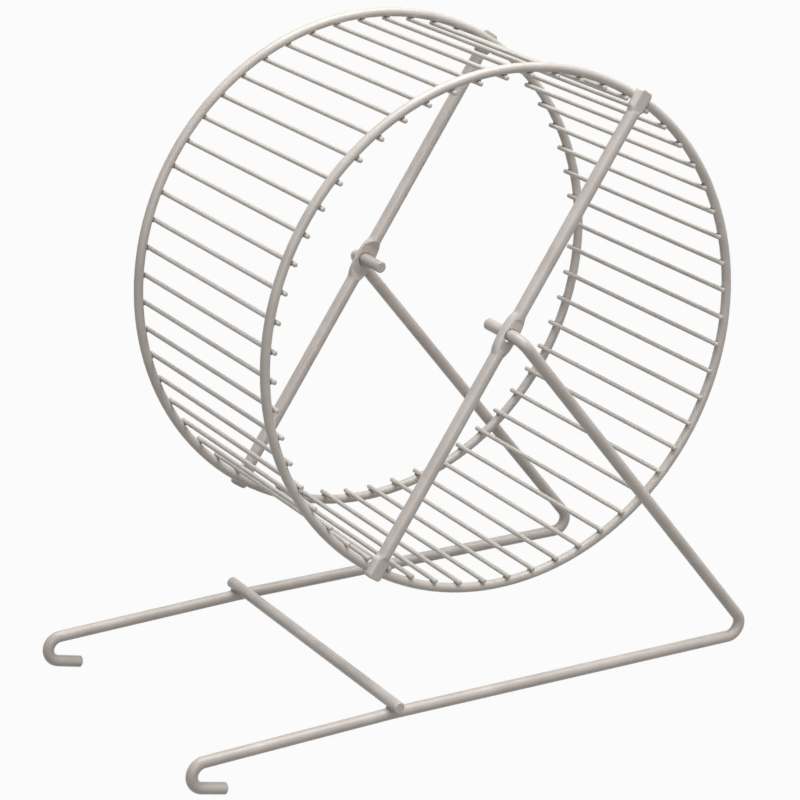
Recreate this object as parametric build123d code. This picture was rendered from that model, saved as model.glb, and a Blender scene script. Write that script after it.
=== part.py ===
from build123d import *
from math import asin, atan2, cos, degrees, hypot, pi, radians, sin, tan
import os

# Rodent exercise wheel of welded and coated steel rod, hung on a bent-rod stand.
# Millimetres, +Z up. The origin is on the floor, under the middle of the whole object.
# The wheel turns about Y. The hooks are at the -X end, and left is the -Y side.

# Driving sizes of the wheel
wheel_diameter = 200.0
rim_rod = 3.6
rim_spacing = 102.5
rung_rod = 1.8
rung_count = 56
rung_overhang = 1.3
spoke_rod = 5.0
spoke_angle = 52.9
spoke_overhang = 1.4

# Driving sizes of the pressed places on a spoke: a punch from inside the wheel squeezes
# the rod against a nearly flat die, so each plate lies at the outer side of its rod
press_thickness = 2.8
press_depth_outside = 0.4
press_slope = 40.0
hub_width = 8.2
hub_length = 20.0
hub_punch = 12.4
paddle_length = 8.5
paddle_clearance = 0.8

# Driving sizes of the stand
side_rod = 4.5
stub_reach = 13.0
crossbar_rod = 4.5
floor_clearance = 44.0
foot_angle = 51.0
hub_bend = 5.0
rear_bend = 5.2
crossbar_distance = 149.5
foot_kink = 1.7
kink_bend = 60.0
hook_distance = 76.0
hook_bend = 5.1
hook_turn = 165.0
hook_tail = 9.9
crossbar_end_left = 5.6
crossbar_end_right = 4.0

# Fits: how deep a weld sinks one rod into another, how much wider the axle hole is than
# its stub, the gap over the stub on which the wheel hangs, the gap that the turning
# spokes leave beside the legs, and the small bevel on the cut ends of the thick rods
weld_set = 0.3
axle_clearance = 0.9
hanging_gap = 0.15
leg_gap = 4.5
cut_edge = 0.4

# Sizes of the wheel that follow
rim_radius = (wheel_diameter - rim_rod) / 2
rim_y = rim_spacing / 2
rung_radius = rim_radius - (rim_rod + rung_rod) / 2
rung_length = rim_spacing + rim_rod + 2 * rung_overhang
rung_step = 360 / rung_count
rung_pitch = 2 * pi * rung_radius / rung_count
spoke_half = wheel_diameter / 2 + spoke_overhang
plate_outside = spoke_rod / 2 - press_depth_outside
plate_inside = press_thickness - plate_outside
plate_y = rim_y + rim_rod / 2 - weld_set
spoke_y = plate_y + plate_inside
paddle_width = rung_pitch - rung_rod - 2 * paddle_clearance

# Sizes of the stand that follow
axle_hole = side_rod + axle_clearance
wheel_drop = axle_clearance / 2 - hanging_gap
wheel_z = wheel_diameter / 2 + floor_clearance
wheel_axis = Axis((0, 0, wheel_z), (0, -1, 0))
stub_z = wheel_z + wheel_drop
leg_y = spoke_y + spoke_rod / 2 + leg_gap + side_rod / 2
stub_tip_y = plate_y - stub_reach


def foot_line(start, heading):
    """Centreline from the rear bend to the tip of the hook, drawn in X and Z."""
    rear = PolarLine(start, crossbar_distance, heading)
    kink = JernArc(rear @ 1, rear % 1, kink_bend, foot_kink)
    front = Line(kink @ 1, kink @ 1 + (kink % 1) * hook_distance)
    hook = JernArc(front @ 1, front % 1, hook_bend, hook_turn)
    tail = Line(hook @ 1, hook @ 1 + (hook % 1) * hook_tail)
    return [rear, kink, front, hook, tail]


def resting_tilt():
    """Angle by which the foot rises when its rear bend and hook tip stand on the floor."""
    tail = foot_line((0, -rear_bend), 180)[-1]
    down = Vector(0, 0, 1).cross(tail % 1) * (-side_rod / 2)
    corner = tail @ 1 + down
    reach = hypot(corner.X, corner.Y)
    return degrees(atan2(-corner.Y, -corner.X) - asin((rear_bend + side_rod / 2) / reach))


foot_rise = resting_tilt()
leg_slope = foot_angle + foot_rise
leg_run = (stub_z - rear_bend * (1 + cos(radians(leg_slope))) - side_rod / 2) / sin(radians(leg_slope))


def stand_lines():
    """Centreline of a side rod in its own upright plane, from the hub bend to the hook."""
    hub_end = Vector(0, stub_z) + Vector(hub_bend, 0).rotate(Axis.Z, -leg_slope)
    leg = PolarLine(hub_end, leg_run - hub_bend, -leg_slope)
    rear = JernArc(leg @ 1, leg % 1, rear_bend, foot_angle - 180)
    return [leg, rear] + foot_line(rear @ 1, 180 - foot_rise)


def make_side_rod():
    """One bent rod: stub axle, leg, foot and hook, on the -Y side."""
    upright = Plane(origin=(0, -leg_y, 0), x_dir=(1, 0, 0), z_dir=(0, -1, 0))
    side_lines = [upright * line for line in stand_lines()]
    stub = Line((0, -stub_tip_y, stub_z), (0, hub_bend - leg_y, stub_z))
    bend_plane = Plane(origin=stub @ 1, x_dir=stub % 1, z_dir=(stub % 1).cross(side_lines[0] % 0))
    bend = bend_plane * JernArc((0, 0), (1, 0), hub_bend, 90)
    path = Wire([stub.edge(), bend.edge()] + [line.edge() for line in side_lines])
    rod = sweep(Plane(stub @ 0, z_dir=stub % 0) * Circle(side_rod / 2), path=path)
    ends = rod.faces().filter_by(GeomType.PLANE).edges()
    return chamfer(ends, cut_edge)


def crossbar_centre():
    """Where the crossbar lies: on top of both feet, sunk a little into them by its welds."""
    kink = stand_lines()[3]
    up = Vector(0, 0, 1).cross(kink % 0.5) * -1
    lift = (side_rod + crossbar_rod) / 2 - weld_set
    return kink @ 0.5 + up * lift


def make_crossbar(left_rod, right_rod):
    """Straight rod across both feet, with a saddle where each foot passes under it."""
    centre = crossbar_centre()
    left_y = -leg_y - crossbar_end_left
    right_y = leg_y + crossbar_end_right
    bar = Plane((centre.X, left_y, centre.Y), z_dir=(0, 1, 0)) * Cylinder(
        crossbar_rod / 2, right_y - left_y, align=(Align.CENTER, Align.CENTER, Align.MIN))
    bar = chamfer(bar.edges().filter_by(GeomType.CIRCLE), cut_edge)
    return bar - left_rod - right_rod


def make_rim(y):
    """Round ring of rod about the wheel's axis."""
    return Pos(0, y, wheel_z) * Rot(90, 0, 0) * Torus(rim_radius, rim_rod / 2)


def make_rung(angle):
    """Thin rod along Y that touches both rims from inside, at an angle from +X towards +Z."""
    rung = Pos(rung_radius, 0, wheel_z) * Rot(90, 0, 0) * Cylinder(rung_rod / 2, rung_length)
    return rung.rotate(wheel_axis, angle)


def make_press(radius):
    """Punch and die of a round press tool: flat up to a radius, then with sloping shoulders."""
    tool = []
    for flat, turn in ((plate_inside, -90), (plate_outside, 90)):
        height = spoke_rod / 2 - flat + 1
        spread = height / tan(radians(press_slope))
        cone = Pos(0, 0, flat + height / 2) * Cone(radius, radius + spread, height)
        tool.append(Rot(turn, 0, 0) * cone)
    return tool


def make_plate(outline):
    """Flat plate as thick as the pressed rod, level with the pressed faces of the rod."""
    plate = extrude(Plane.XZ * outline, amount=press_thickness / 2, both=True)
    return Pos(0, plate_inside - press_thickness / 2, 0) * plate


def paddle_outline():
    """Upper end of a spoke: it widens from the rod and ends square with cut corners."""
    side = paddle_width / 2
    corner = paddle_width / 5
    shoulder = spoke_half - paddle_length + corner
    return make_face(Polyline(
        (-spoke_rod / 2, shoulder - spoke_rod / 2),
        (spoke_rod / 2, shoulder - spoke_rod / 2),
        (side, shoulder),
        (side, spoke_half - corner),
        (side - corner, spoke_half),
        (corner - side, spoke_half),
        (-side, spoke_half - corner),
        (-side, shoulder),
        close=True))


def make_spoke(rim):
    """Straight rod across the -Y side of the wheel, pressed flat at its middle and ends."""
    paddle = make_plate(paddle_outline())
    spoke = Cylinder(spoke_rod / 2, 2 * spoke_half)
    spoke = spoke + make_plate(Ellipse(hub_width / 2, hub_length / 2))
    spoke = spoke + paddle + mirror(paddle, about=Plane.XY)
    spoke = spoke - make_press(hub_punch / 2)
    for end in (spoke_half, -spoke_half):
        spoke = spoke - [Pos(0, 0, end) * tool for tool in make_press(paddle_length)]
    spoke = spoke - Rot(90, 0, 0) * Cylinder(axle_hole / 2, spoke_rod)
    spoke = Pos(0, -spoke_y, wheel_z) * Rot(0, 90 - spoke_angle, 0) * spoke
    return spoke - rim


def build():
    """Every piece of the object by its name."""
    pieces = {}
    pieces["left_side_rod"] = make_side_rod()
    pieces["right_side_rod"] = mirror(pieces["left_side_rod"], about=Plane.XZ)
    pieces["crossbar"] = make_crossbar(pieces["left_side_rod"], pieces["right_side_rod"])
    pieces["left_rim"] = make_rim(-rim_y)
    pieces["right_rim"] = make_rim(rim_y)
    pieces["left_spoke"] = make_spoke(pieces["left_rim"])
    pieces["right_spoke"] = mirror(pieces["left_spoke"], about=Plane.XZ)
    for pair in range(rung_count // 2):
        angle = spoke_angle + (2 * pair + 0.5) * rung_step
        rungs = [make_rung(angle), make_rung(angle + rung_step)]
        pieces[f"rung_pair_{pair + 1:02d}"] = Compound([rung.solid() for rung in rungs])
    return pieces


def main():
    pieces = build()
    box = Compound(list(pieces.values())).bounding_box()
    middle_x = (box.min.X + box.max.X) / 2
    middle_y = (box.min.Y + box.max.Y) / 2
    os.makedirs("parts", exist_ok=True)
    for name, piece in pieces.items():
        export_step(Pos(-middle_x, -middle_y, 0) * piece, f"parts/{name}.step")
    print(f"whole object {box.size.X:.2f} x {box.size.Y:.2f} x {box.size.Z:.2f}, lowest {box.min.Z:.3f}")
    print(f"wheel axis at x {-middle_x:.3f} z {wheel_z:.3f}, legs at y {leg_y - middle_y:.3f}")
    print(f"foot rises {foot_rise:.2f} degrees, crossbar at x {crossbar_centre().X - middle_x:.2f}")


main()
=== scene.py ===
from math import cos, hypot, pi, radians, sin, sqrt, tan

import bmesh
import bpy
from mathutils import Matrix, Vector, noise


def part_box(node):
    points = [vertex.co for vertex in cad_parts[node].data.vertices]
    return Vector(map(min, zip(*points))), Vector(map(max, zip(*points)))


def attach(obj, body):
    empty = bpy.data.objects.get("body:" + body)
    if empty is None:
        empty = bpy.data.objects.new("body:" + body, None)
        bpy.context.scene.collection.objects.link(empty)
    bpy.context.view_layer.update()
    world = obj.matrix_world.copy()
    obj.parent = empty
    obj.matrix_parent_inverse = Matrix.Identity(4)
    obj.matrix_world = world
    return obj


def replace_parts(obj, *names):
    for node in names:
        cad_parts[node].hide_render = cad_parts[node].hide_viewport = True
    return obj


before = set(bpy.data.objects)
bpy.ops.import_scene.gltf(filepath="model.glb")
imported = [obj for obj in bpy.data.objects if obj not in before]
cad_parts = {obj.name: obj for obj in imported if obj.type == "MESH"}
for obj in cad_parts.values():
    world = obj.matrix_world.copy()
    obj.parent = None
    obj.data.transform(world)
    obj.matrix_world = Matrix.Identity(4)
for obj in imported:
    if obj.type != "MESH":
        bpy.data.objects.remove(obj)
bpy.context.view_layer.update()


# Rims: two rings of 3.6 mm steel rod, each bent round and butt-welded, 102.5 mm apart.
# The whole wheel is coated after it is welded, so one satin coat covers everything.
# The rings are the CAD's own, because a bent round rod is already their full shape.

mm = 0.001
rim_rod = 3.6 * mm
rim_low, rim_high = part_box("left_rim")
far_rim_low, far_rim_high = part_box("right_rim")
hub_x = (rim_low.x + rim_high.x) / 2
hub_y = (rim_low.y + far_rim_high.y) / 2
hub_z = (rim_low.z + rim_high.z) / 2
hub = Vector((hub_x, hub_y, hub_z))
rim_radius = (rim_high.x - rim_low.x - rim_rod) / 2
rim_y = (far_rim_low.y + far_rim_high.y) / 2 - hub.y

coat_greige = "#CEC7C1"
coat_shade = "#C2BAB3"


def linear(hex_colour):
    """Linear RGBA of an sRGB hex colour."""
    shown = [int(hex_colour[i:i + 2], 16) / 255 for i in (1, 3, 5)]
    return [c / 12.92 if c <= 0.04045 else ((c + 0.055) / 1.055) ** 2.4 for c in shown] + [1.0]


def add_node(tree, kind, inputs, **settings):
    """Adds a node with its settings; each input takes a value or another node's output."""
    made = tree.nodes.new(kind)
    for name, value in settings.items():
        setattr(made, name, value)
    for socket, value in inputs.items():
        if isinstance(value, bpy.types.NodeSocket):
            tree.links.new(value, made.inputs[socket])
        else:
            made.inputs[socket].default_value = value
    return made


def satin_coated_steel(name, light, shade, rough, peel):
    """Steel wire under a sprayed and baked satin coat. It gives the eye an even warm grey
    with a soft, wide highlight. The coat pools and thins over some 12 mm, has a faint
    orange peel of 1.2 mm (drawn coarser than the real 0.5 mm, which wouldn't show) and
    pin marks some 3.5 mm apart where dust was baked in."""
    coat = bpy.data.materials.new(name)
    coat.use_nodes = True
    tree = coat.node_tree
    tree.nodes.clear()
    place = add_node(tree, "ShaderNodeTexCoord", {}).outputs["Object"]
    pooling = add_node(tree, "ShaderNodeTexNoise", {
        "Vector": place, "Scale": 1 / (12 * mm), "Detail": 3.0, "Roughness": 0.55})
    grain = add_node(tree, "ShaderNodeTexNoise", {
        "Vector": place, "Scale": 1 / (1.2 * mm), "Detail": 2.0, "Roughness": 0.5})
    specks = add_node(tree, "ShaderNodeTexVoronoi", {"Vector": place, "Scale": 1 / (3.5 * mm)})
    pooled = add_node(tree, "ShaderNodeMapRange", {
        "Value": pooling.outputs["Fac"], "From Min": 0.35, "From Max": 0.65})
    colour = add_node(tree, "ShaderNodeMix", {
        "Factor": pooled.outputs["Result"], "A": linear(light), "B": linear(shade)}, data_type="RGBA")
    pin_marks = add_node(tree, "ShaderNodeMapRange", {
        "Value": specks.outputs["Distance"], "From Min": 0.04, "From Max": 0.16, "To Min": 0.06, "To Max": 0.0})
    speckled = add_node(tree, "ShaderNodeMix", {
        "Factor": pin_marks.outputs["Result"], "A": colour.outputs["Result"], "B": linear("#8C837B")},
        data_type="RGBA")
    uneven = add_node(tree, "ShaderNodeMapRange", {
        "Value": grain.outputs["Fac"], "From Min": 0.3, "From Max": 0.7,
        "To Min": rough - 0.03, "To Max": rough + 0.04})
    bump = add_node(tree, "ShaderNodeBump", {
        "Height": grain.outputs["Fac"], "Strength": peel, "Distance": 0.03 * mm})
    shader = add_node(tree, "ShaderNodeBsdfPrincipled", {
        "Base Color": speckled.outputs["Result"], "Roughness": uneven.outputs["Result"],
        "Normal": bump.outputs["Normal"], "Metallic": 0.0, "IOR": 1.5,
        "Coat Weight": 0.2, "Coat Roughness": 0.25})
    add_node(tree, "ShaderNodeOutputMaterial", {"Surface": shader.outputs["BSDF"]})
    return coat


def dress(node, material):
    """Gives a CAD node its finish."""
    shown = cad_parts[node]
    shown.data.materials.clear()
    shown.data.materials.append(material)


rim_coat = satin_coated_steel("satin_coat_on_rim_rod", coat_greige, coat_shade, 0.34, 0.06)
dress("left_rim", rim_coat)
dress("right_rim", rim_coat)


# Rungs: 56 straight pieces of 1.8 mm wire, resistance-welded inside both rims.
# Each weld leaves a small nub where the wire meets the rim, darker partly from scorching and partly
# with painted shade, and a short end of wire stands out past the rims, cut by shears that leave a slightly
# domed tip.

rung_radius = 0.9 * mm
rung_count = 56
# The ends are 0.7 mm shorter than the CAD's, because the photograph shows them short.
rung_overhang = 0.6 * mm
rung_circle = rim_radius - rim_rod / 2 - rung_radius
rung_half = rim_y + rim_rod / 2 + rung_overhang
first_rung_angle = radians(52.9 + 0.5 * 360 / rung_count)


def loft(mesh, rings):
    """Skins rings of equally many points into one tube with closed ends."""
    made = [[mesh.verts.new(point) for point in ring] for ring in rings]
    for lower, upper in zip(made, made[1:]):
        for i in range(len(lower)):
            j = (i + 1) % len(lower)
            mesh.faces.new((lower[i], lower[j], upper[j], upper[i]))
    mesh.faces.new(list(reversed(made[0])))
    mesh.faces.new(made[-1])


def weld_nub(mesh, centre, out, size, seed):
    """Bead of weld: a squashed ball, long across `out`, a little uneven by its seed."""
    across = Vector((0, 1, 0))
    side = out.cross(across)
    made = bmesh.ops.create_uvsphere(mesh, u_segments=14, v_segments=9, radius=1.0)["verts"]
    for vert in made:
        uneven = 1 + 0.14 * noise.noise(vert.co * 1.7 + Vector((seed * 3.1, seed * 1.3, 0)))
        ball = vert.co * uneven
        vert.co = centre + out * ball.x * size[0] + across * ball.y * size[1] + side * ball.z * size[2]
    return {face for vert in made for face in vert.link_faces}


def finish_mesh(name, mesh, materials, body, sharp=40):
    """Turns a bmesh into a smooth-shaded piece that rides on a body."""
    bmesh.ops.recalc_face_normals(mesh, faces=mesh.faces[:])
    data = bpy.data.meshes.new(name)
    mesh.to_mesh(data)
    mesh.free()
    data.shade_smooth()
    data.set_sharp_from_angle(angle=radians(sharp))
    for material in materials:
        data.materials.append(material)
    piece = bpy.data.objects.new(name, data)
    bpy.context.scene.collection.objects.link(piece)
    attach(piece, body)
    return piece


def rung_wire(mesh, angle, number):
    """One rung with its two domed tips and the weld nub at each rim."""
    out = Vector((cos(angle), 0, sin(angle)))
    side = out.cross(Vector((0, 1, 0)))
    centre = hub + out * rung_circle
    profile = [(-rung_half, 0.45), (-rung_half + 0.12 * mm, 0.82), (-rung_half + 0.35 * mm, 1.0)]
    profile += [(-rim_y, 1.0), (0.0, 1.0), (rim_y, 1.0)]
    profile += [(-y, scale) for y, scale in reversed(profile[:3])]
    rings = []
    for y, scale in profile:
        turn = [2 * pi * i / 16 for i in range(16)]
        rings.append([centre + Vector((0, y, 0)) + (out * cos(t) + side * sin(t)) * rung_radius * scale
                      for t in turn])
    loft(mesh, rings)
    for end in (-1, 1):
        nub = centre + out * rung_radius * 0.95 + Vector((0, end * rim_y, 0))
        size = (0.55 * mm, 1.25 * mm, 1.15 * mm)
        # The nubs take the weld colour: scorched metal, darkened further with painted shade.
        for face in weld_nub(mesh, nub, out, size, number + 70 * end):
            face.material_index = 1


# The thin wire takes a thinner, smoother coat. Over a weld nub the coat is rougher and
# darker, partly because scorched metal shows through it and partly with painted shade for its hollows.
rung_coat = satin_coated_steel("satin_coat_on_rung_wire", "#D2CCC6", "#C8C1BB", 0.36, 0.03)
weld_coat_and_painted_shade = satin_coated_steel("satin_coat_over_weld_nub_and_painted_shade", "#857A71", "#6C625A", 0.5, 0.4)

for pair in range(rung_count // 2):
    rung_mesh = bmesh.new()
    for number in (2 * pair, 2 * pair + 1):
        rung_wire(rung_mesh, first_rung_angle + number * 2 * pi / rung_count, number)
    rung_pair = finish_mesh(f"rungs_{pair + 1:02d}", rung_mesh, [rung_coat, weld_coat_and_painted_shade], "wheel")
    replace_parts(rung_pair, f"rung_pair_{pair + 1:02d}")


# Spokes: one straight 5 mm rod across each side of the wheel, laid on the rim's outer face.
# A press tool has squeezed it flat at its middle, where the axle hole is punched, and at
# both ends, which are welded to the rim. The steel that is squeezed bulges to both sides.

spoke_rod = 5.0 * mm
spoke_half = 101.4 * mm
spoke_angle = radians(52.9)
plate_outside = 2.1 * mm
plate_inside = 0.7 * mm
spoke_y = rim_y + rim_rod / 2 - 0.3 * mm + plate_inside
axle_hole = 5.4 * mm
hub_flat = 6.2 * mm
hub_half_width = 4.1 * mm
hub_half_length = 9.4 * mm
end_flat = 8.5 * mm
end_half_width = 3.66 * mm
end_corner = 1.5 * mm
press_slope = tan(radians(40))
hub_blend = 20 * mm
end_edge = 0.4 * mm
hole_edge_width = 0.35 * mm
hole_edge_depth = 0.3 * mm
past_face = 0.02 * mm
punch_reach = 6.0 * mm
punch_flare = 4.2 * mm
fine_step = 0.3 * mm
fine_steps = 41
end_part_start = 88 * mm


def half_width(s):
    """How far the rod reaches to each side at a distance s from its middle."""
    rod = spoke_rod / 2
    bulge = hub_half_width * sqrt(max(0.0, 1 - (abs(s) / hub_half_length) ** 3))
    shoulder = spoke_half - end_flat + end_corner
    spread = min(1.0, max(0.0, (abs(s) - shoulder + rod) / rod))
    flare = rod + (end_half_width - rod) * spread * spread * (3 - 2 * spread)
    to_end = spoke_half - abs(s)
    rounding = end_corner - sqrt(max(0.0, end_corner ** 2 - max(0.0, end_corner - to_end) ** 2))
    blended = (bulge ** 8 + rod ** 8) ** 0.125 if abs(s) < hub_blend else rod
    return max(blended, flare) - rounding


def pressed_depth(flat, s, x):
    """Height of a pressed face over the rod's axis, at a place on the rod."""
    from_hub = max(0.0, hypot(s, x) - hub_flat)
    from_end = max(0.0, hypot(spoke_half - abs(s), x) - end_flat)
    return flat + press_slope * min(from_hub, from_end)


def rod_section(s, points=72):
    """Outline of the pressed rod at a distance s from its middle, as width and thickness."""
    rod = spoke_rod / 2
    wide = half_width(s)
    near_end = min(1.0, (spoke_half - abs(s)) / end_edge)
    edge = 1 - 0.25 * (1 - near_end) ** 2
    outline = []
    for i in range(points):
        t = 2 * pi * i / points
        x = wide * cos(t) * (1 - 0.04 * (1 - near_end))
        y = rod * sin(t)
        inner = pressed_depth(plate_inside, s, x) * edge
        outer = pressed_depth(plate_outside, s, x) * edge
        outline.append((x, max(-outer, min(inner, y))))
    return outline


def spoke_stations():
    """Distances along the spoke at which it is drawn: close together where it is pressed."""
    hub_part = [fine_step * i for i in range(fine_steps)]
    plain_part = [s * mm for s in (13, 15, 18, 24, 40, 60, 80)]
    end_part = [end_part_start + fine_step * i for i in range(fine_steps)]
    rounded_tip = [s * mm for s in (100.4, 100.8, 101.1, 101.3)]
    half = hub_part + plain_part + end_part + rounded_tip + [spoke_half]
    return [-s for s in reversed(half[1:])] + half


def punch_axle_hole(piece, side):
    """Punches the hole, with the softened rim that the coat leaves on both faces."""
    cutter_mesh = bmesh.new()
    steps = [(-punch_reach, punch_flare), (-plate_outside - past_face, hole_edge_width),
             (-plate_outside + hole_edge_depth, 0.0), (plate_inside - hole_edge_depth, 0.0),
             (plate_inside + past_face, hole_edge_width), (punch_reach, punch_flare)]
    turns = [2 * pi * i / 64 for i in range(64)]
    rings = []
    for y, flare in steps:
        radius = axle_hole / 2 + flare
        world_y = hub.y + side * (spoke_y - y)
        rings.append([Vector((hub.x + radius * cos(t), world_y, hub.z + radius * sin(t))) for t in turns])
    loft(cutter_mesh, rings)
    bmesh.ops.recalc_face_normals(cutter_mesh, faces=cutter_mesh.faces[:])
    cutter_data = bpy.data.meshes.new("axle_punch")
    cutter_mesh.to_mesh(cutter_data)
    cutter_mesh.free()
    cutter = bpy.data.objects.new("axle_punch", cutter_data)
    bpy.context.scene.collection.objects.link(cutter)
    punch = piece.modifiers.new("punch", "BOOLEAN")
    punch.operation = "DIFFERENCE"
    punch.solver = "EXACT"
    punch.object = cutter
    bpy.context.view_layer.update()
    shape = bpy.data.meshes.new_from_object(piece.evaluated_get(bpy.context.evaluated_depsgraph_get()))
    piece.modifiers.clear()
    piece.data = shape
    bpy.data.objects.remove(cutter)
    shape.shade_smooth()
    shape.set_sharp_from_angle(angle=radians(24))


def pressed_spoke(name, side):
    """The spoke on one side of the wheel; side is -1 for left and 1 for right."""
    mesh = bmesh.new()
    along = Vector((cos(spoke_angle), 0, sin(spoke_angle)))
    across = Vector((-sin(spoke_angle), 0, cos(spoke_angle)))
    rings = []
    for s in spoke_stations():
        base = Vector((hub.x, hub.y + side * spoke_y, hub.z)) + along * s
        rings.append([base + across * x + Vector((0, -side * y, 0)) for x, y in rod_section(s)])
    loft(mesh, rings)
    piece = finish_mesh(name, mesh, [spoke_coat, weld_coat_and_painted_shade], "wheel", sharp=24)
    punch_axle_hole(piece, side)
    return piece


spoke_coat = satin_coated_steel("satin_coat_on_pressed_spoke", "#D2CAC4", "#C5BDB6", 0.33, 0.07)
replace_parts(pressed_spoke("spoke_left", -1), "left_spoke")
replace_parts(pressed_spoke("spoke_right", 1), "right_spoke")


# Side rods: the two sides of the stand, each one bent 4.5 mm rod that is stub axle, leg,
# foot and hook in one. Their ends are cut square and deburred. They are the CAD's own.

stand_coat = satin_coated_steel("satin_coat_on_stand_rod", "#CDC5BF", "#BFB7B0", 0.33, 0.07)
dress("left_side_rod", stand_coat)
dress("right_side_rod", stand_coat)


# Crossbar: a straight 4.5 mm rod laid across both feet and welded to each of them.
# The weld metal shows as a small brownish bead before and behind the bar.

dress("crossbar", stand_coat)
bar_low, bar_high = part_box("crossbar")
side_rod = 4.5 * mm
bar_x = (bar_low.x + bar_high.x) / 2
bar_weld_z = bar_high.z - side_rod + 0.2 * mm
bead_size = (1.0 * mm, 1.7 * mm, 0.75 * mm)
bead_offset = 1.5 * mm
bead_drop = 0.1 * mm
bar_weld_coat = satin_coated_steel("satin_coat_over_crossbar_weld", "#A3978C", "#8E8276", 0.5, 0.7)
for name, node in (("left", "left_side_rod"), ("right", "right_side_rod")):
    low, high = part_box(node)
    foot_y = low.y + side_rod / 2 if name == "left" else high.y - side_rod / 2
    bead_mesh = bmesh.new()
    for step in (-1, 1):
        spot = Vector((bar_x + step * bead_offset, foot_y, bar_weld_z - step * bead_drop))
        weld_nub(bead_mesh, spot, Vector((1, 0, 0)), bead_size, step + len(name))
    finish_mesh(f"crossbar_weld_{name}", bead_mesh, [bar_weld_coat], "stand", sharp=60)


# Floor, light and camera of the photograph: a white paper sweep, a wide soft box overhead
# and a weaker one at the front left. The camera stands at the front left, above the hub,
# at the place that was found from the outlines of the two rims.

floor_data = bpy.data.meshes.new("floor")
floor_data.from_pydata([(-6, -6, 0), (6, -6, 0), (6, 6, 0), (-6, 6, 0)], [], [(0, 1, 2, 3)])
floor = bpy.data.objects.new("floor", floor_data)
bpy.context.scene.collection.objects.link(floor)

floor_paper = bpy.data.materials.new("white_paper_sweep")
floor_paper.use_nodes = True
paper = floor_paper.node_tree
paper.nodes.clear()
ray = add_node(paper, "ShaderNodeLightPath", {})
seen = add_node(paper, "ShaderNodeMath", {0: ray.outputs["Is Camera Ray"], 1: ray.outputs["Is Glossy Ray"]},
                operation="MAXIMUM")
seen = add_node(paper, "ShaderNodeMath", {0: seen.outputs[0], 1: ray.outputs["Is Transmission Ray"]},
                operation="MAXIMUM")
glow_share = add_node(paper, "ShaderNodeMath", {0: seen.outputs[0], 1: 0.96}, operation="MULTIPLY")
fibre = add_node(paper, "ShaderNodeTexNoise", {"Scale": 1 / (2 * mm), "Detail": 2.0})
paper_tone = add_node(paper, "ShaderNodeMix", {
    "Factor": fibre.outputs["Fac"], "A": linear("#6E6A67"), "B": linear("#76726F")}, data_type="RGBA")
matt = add_node(paper, "ShaderNodeBsdfDiffuse", {"Color": paper_tone.outputs["Result"]})
glow = add_node(paper, "ShaderNodeEmission", {"Color": (1, 1, 1, 1), "Strength": 1.0})
mixed = add_node(paper, "ShaderNodeMixShader", {
    0: glow_share.outputs[0], 1: matt.outputs[0], 2: glow.outputs[0]})
add_node(paper, "ShaderNodeOutputMaterial", {"Surface": mixed.outputs[0]})
floor_data.materials.append(floor_paper)

room = bpy.data.worlds.new("white_room")
bpy.context.scene.world = room
room.use_nodes = True
sky = room.node_tree
sky.nodes.clear()
sky_ray = add_node(sky, "ShaderNodeLightPath", {})
sky_seen = add_node(sky, "ShaderNodeMath", {
    0: sky_ray.outputs["Is Camera Ray"], 1: sky_ray.outputs["Is Glossy Ray"]}, operation="MAXIMUM")
sky_seen = add_node(sky, "ShaderNodeMath", {
    0: sky_seen.outputs[0], 1: sky_ray.outputs["Is Transmission Ray"]}, operation="MAXIMUM")
sky_strength = add_node(sky, "ShaderNodeMapRange", {
    "Value": sky_seen.outputs[0], "To Min": 0.15, "To Max": 1.0})
sky_light = add_node(sky, "ShaderNodeBackground", {
    "Color": (1, 1, 1, 1), "Strength": sky_strength.outputs["Result"]})
add_node(sky, "ShaderNodeOutputWorld", {"Surface": sky_light.outputs[0]})


def soft_box(name, place, size, power):
    """Square soft box that faces the middle of the wheel."""
    data = bpy.data.lights.new(name, "AREA")
    data.shape = "SQUARE"
    data.size = size
    data.energy = power
    lamp = bpy.data.objects.new(name, data)
    bpy.context.scene.collection.objects.link(lamp)
    lamp.location = hub + Vector(place)
    lamp.rotation_euler = (-Vector(place)).to_track_quat("-Z", "Y").to_euler()


soft_box("overhead_soft_box", (0.25, -0.15, 1.15), 1.2, 22.0)
soft_box("front_left_soft_box", (-0.75, -1.35, 0.55), 0.9, 6.5)

sensor_width = 36.0
focal_pixels = 3095.2
photo_width = 800
camera_place = Vector((-546.1, -956.4, 384.2)) * mm
camera_right = Vector((0.8662, -0.4981, -0.0415))
camera_up = Vector((0.2135, 0.2935, 0.9318))
camera_back = camera_right.cross(camera_up).normalized()
camera_up = camera_back.cross(camera_right).normalized()
camera_data = bpy.data.cameras.new("photo_camera")
camera_data.sensor_width = sensor_width
camera_data.lens = sensor_width * focal_pixels / photo_width
camera = bpy.data.objects.new("photo_camera", camera_data)
bpy.context.scene.collection.objects.link(camera)
turn = Matrix((camera_right.normalized(), camera_up, camera_back)).transposed().to_4x4()
camera.matrix_world = Matrix.Translation(hub + camera_place) @ turn
bpy.context.scene.camera = camera

bpy.context.scene.view_settings.view_transform = "Standard"
